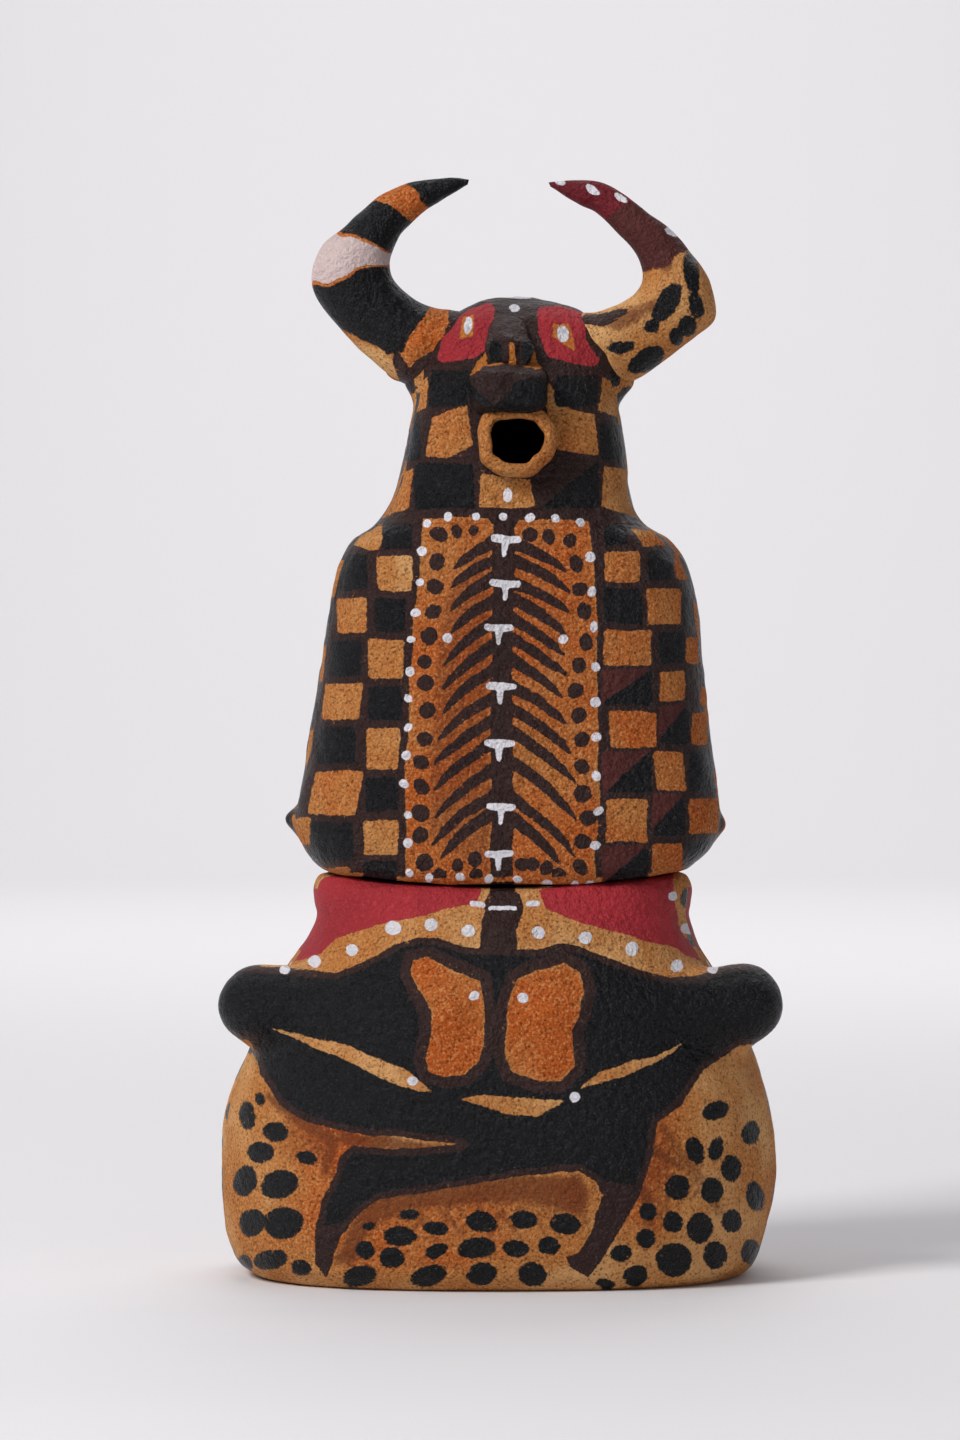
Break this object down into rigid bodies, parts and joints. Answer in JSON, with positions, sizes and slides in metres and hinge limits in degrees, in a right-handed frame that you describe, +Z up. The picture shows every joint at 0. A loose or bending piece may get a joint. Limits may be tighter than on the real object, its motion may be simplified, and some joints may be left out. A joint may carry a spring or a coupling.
{
  "type": "seated horned clay figure",
  "caption": "Hollow hand-built figure of painted earthenware: a horned head with an open mouth on a tapering torso, seated cross-legged, standing free on a flat foot.",
  "frame": {"origin": "centre of the foot that the figure stands on, on the floor", "axes": "+Z up, the figure faces -Y, and +X is the figure's own left"},
  "size_m": [0.1788, 0.126, 0.3498],
  "materials": {
    "painted_clay": "gritty earthenware painted with blue-black and brown-black over ochre slip, in a chequer",
    "spotted_paint": "ochre slip with black spots",
    "dark_paint": "brown-black paint with a slight sheen",
    "red_paint": "crimson paint, matt",
    "horn_paint": "bands of black, ochre, cream and crimson",
    "bare_clay": "unpainted terracotta with grog"
  },
  "bodies": {
    "root": {"floor_slab": "bare_clay", "lap_front": "spotted_paint", "lap_back": "spotted_paint", "thigh_left": "dark_paint", "thigh_right": "dark_paint", "waist_ledge": "red_paint", "torso_front": "painted_clay", "torso_back": "painted_clay", "elbow_left": "painted_clay", "elbow_right": "painted_clay", "head_shell": "painted_clay", "mouth_ring": "painted_clay", "muzzle": "dark_paint", "nose_ridge": "dark_paint", "horn_left": "horn_paint", "horn_right": "horn_paint", "horn_cuff": "horn_paint"}
  },
  "joints": []
}
